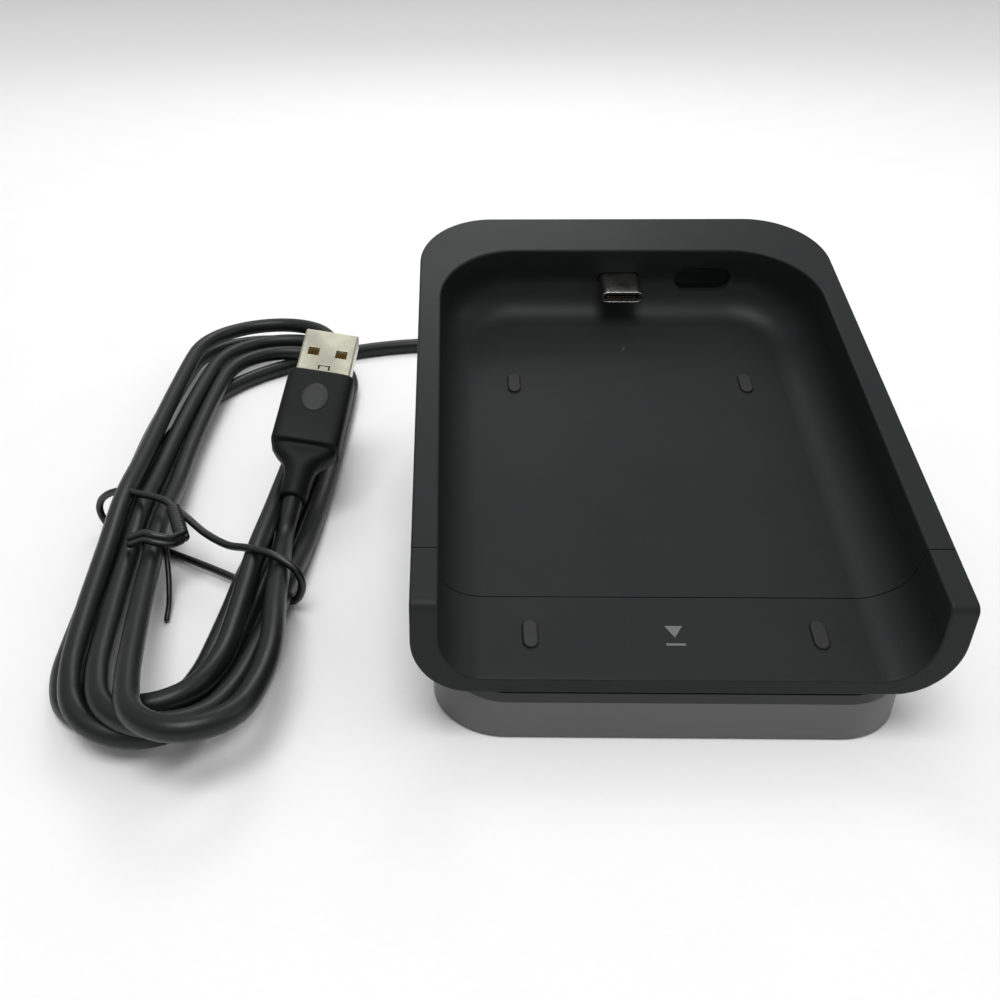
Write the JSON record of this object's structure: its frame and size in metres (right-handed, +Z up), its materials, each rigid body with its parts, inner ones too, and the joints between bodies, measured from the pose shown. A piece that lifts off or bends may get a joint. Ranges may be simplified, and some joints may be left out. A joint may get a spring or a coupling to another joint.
{
  "type": "card terminal charging dock",
  "caption": "Sloping charging dock for a handheld card terminal, with a USB-C plug in its tray, a pull-out front section and a coiled USB-A lead.",
  "frame": {"origin": "centre of the dock's footprint on the table, without the lead", "axes": "+X to the user's right, +Y to the back of the dock, +Z up"},
  "size_m": [0.1544, 0.185, 0.0577],
  "materials": {
    "housing_plastic": "fine matte moulded",
    "skirt_plastic": "matte moulded",
    "base_finish": "satin grey",
    "cover_plastic": "matte",
    "rubber": "soft matte",
    "steel": "plain",
    "screws": "zinc plated",
    "mark_print": "printed grey",
    "light_lens": "smoked clear",
    "board": "solder mask",
    "chips": "moulded package",
    "lamp": "clear",
    "connector_plastic": "moulded",
    "plated_shell": "nickel plated",
    "contact_gold": "gold plated",
    "ribbon": "flat cable",
    "cord_jacket": "satin jacket",
    "usb_a_metal": "nickel plated",
    "usb_a_insulator": "moulded",
    "usb_a_overmould": "soft matte",
    "tie_plastic": "covered wire"
  },
  "bodies": {
    "dock": {"back_window": "light_lens", "ballast_plate": "steel", "base_shell": "base_finish", "board_chips": "chips", "board_screws": "screws", "bottom_cover": "cover_plastic", "case_screws": "screws", "cord_coil": "cord_jacket", "cord_header": "connector_plastic", "cord_lead": "cord_jacket", "cord_strain_relief": "cord_jacket", "floor_pads_rear": "rubber", "inner_cord": "cord_jacket", "lamp_board": "board", "light_pipe": "light_lens", "main_board": "board", "ribbon_cable": "ribbon", "ribbon_socket": "connector_plastic", "rubber_feet": "rubber", "skirt": "skirt_plastic", "status_lamp": "lamp", "stop_screw": "screws", "twist_tie": "tie_plastic", "upper_housing": "housing_plastic", "usb_a_body": "usb_a_overmould", "usb_a_contacts": "contact_gold", "usb_a_neck": "usb_a_overmould", "usb_a_shell": "usb_a_metal", "usb_a_tongue": "usb_a_insulator", "usb_c_carrier": "connector_plastic", "usb_c_contacts": "contact_gold", "usb_c_core": "connector_plastic", "usb_c_shell": "plated_shell"},
    "front_section": {"front_slide": "housing_plastic", "guide_rods": "steel", "slide_runner": "steel", "runner_screws": "screws", "floor_pads_front": "rubber", "direction_mark": "mark_print"}
  },
  "joints": [
    {"name": "front_pull", "type": "slide", "parent": "dock", "child": "front_section", "axis": [0, -0.9455, -0.3256], "range_m": [0, 0.009]}
  ]
}
